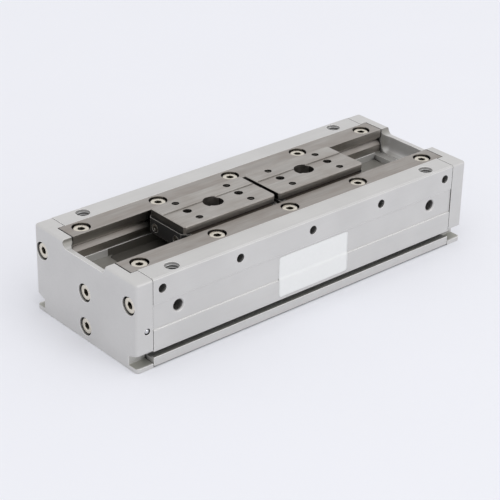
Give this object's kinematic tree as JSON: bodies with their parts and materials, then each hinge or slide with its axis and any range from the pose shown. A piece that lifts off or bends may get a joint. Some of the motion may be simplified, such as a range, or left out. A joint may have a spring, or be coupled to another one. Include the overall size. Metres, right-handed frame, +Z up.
{
  "type": "parallel gripper",
  "caption": "Low-profile pneumatic parallel gripper: two jaws on one ball guide between steel rails, opened and closed together by racked pistons and a pinion.",
  "frame": {"origin": "middle of the base, under the middle between the jaws", "axes": "+X along the jaw guide, +Y across it away from the air ports, +Z up out of the jaw faces"},
  "size_m": [0.1908, 0.071, 0.044],
  "materials": {
    "anodised_aluminium": "satin clear anodised",
    "guide_steel": "ground stainless",
    "screw_steel": "bright stainless",
    "black_screw": "black oxide",
    "ball_steel": "polished bearing steel",
    "black_plastic": "moulded",
    "drive_steel": "machined and hardened",
    "piston_aluminium": "machined",
    "black_rubber": "moulded nitrile",
    "wear_plastic": "filled sliding plastic",
    "ferrite": "sintered"
  },
  "bodies": {
    "body": {"body_block": "anodised_aluminium", "left_end_cap": "anodised_aluminium", "right_end_cap": "anodised_aluminium", "near_guide_rail": "guide_steel", "far_guide_rail": "guide_steel", "left_cap_screws": "screw_steel", "right_cap_screws": "screw_steel", "near_rail_screws": "screw_steel", "far_rail_screws": "screw_steel", "rail_set_screws": "black_screw", "passage_plug_balls": "ball_steel", "pinion_pin": "drive_steel", "cover_ring": "drive_steel", "pinion_cover": "piston_aluminium", "left_cap_seals": "black_rubber", "right_cap_seals": "black_rubber", "left_bumpers": "black_rubber", "right_bumpers": "black_rubber"},
    "left_jaw": {"left_jaw": "guide_steel", "left_outer_end_plate": "black_plastic", "left_inner_end_plate": "black_plastic", "left_end_plate_screws": "black_screw", "left_guide_balls": "ball_steel", "left_drive_bar": "drive_steel", "left_joint_screw": "black_screw", "left_drive_pin": "drive_steel", "left_piston": "piston_aluminium", "left_piston_seals": "black_rubber", "left_wear_rings": "wear_plastic", "left_magnet": "ferrite"},
    "right_jaw": {"right_jaw": "guide_steel", "right_outer_end_plate": "black_plastic", "right_inner_end_plate": "black_plastic", "right_end_plate_screws": "black_screw", "right_guide_balls": "ball_steel", "right_drive_bar": "drive_steel", "right_joint_screw": "black_screw", "right_drive_pin": "drive_steel", "right_piston": "piston_aluminium", "right_piston_seals": "black_rubber", "right_wear_rings": "wear_plastic", "right_magnet": "ferrite"},
    "pinion": {"pinion": "drive_steel"}
  },
  "joints": [
    {"name": "left_jaw_slide", "type": "slide", "parent": "body", "child": "left_jaw", "axis": [-1, 0, 0], "range_m": [0, 0.04]},
    {"name": "right_jaw_slide", "type": "slide", "parent": "body", "child": "right_jaw", "axis": [1, 0, 0], "range_m": [0, 0.04]},
    {"name": "pinion_spin", "type": "hinge", "parent": "body", "child": "pinion", "pos_m": [0, 0, 0.0145], "axis": [0, 0, 1], "range_deg": [0, 287]}
  ],
  "couplings": [
    {"joint": "right_jaw_slide", "follows": "left_jaw_slide", "ratio": 1},
    {"joint": "pinion_spin", "follows": "left_jaw_slide", "rad_per_m": 125}
  ]
}
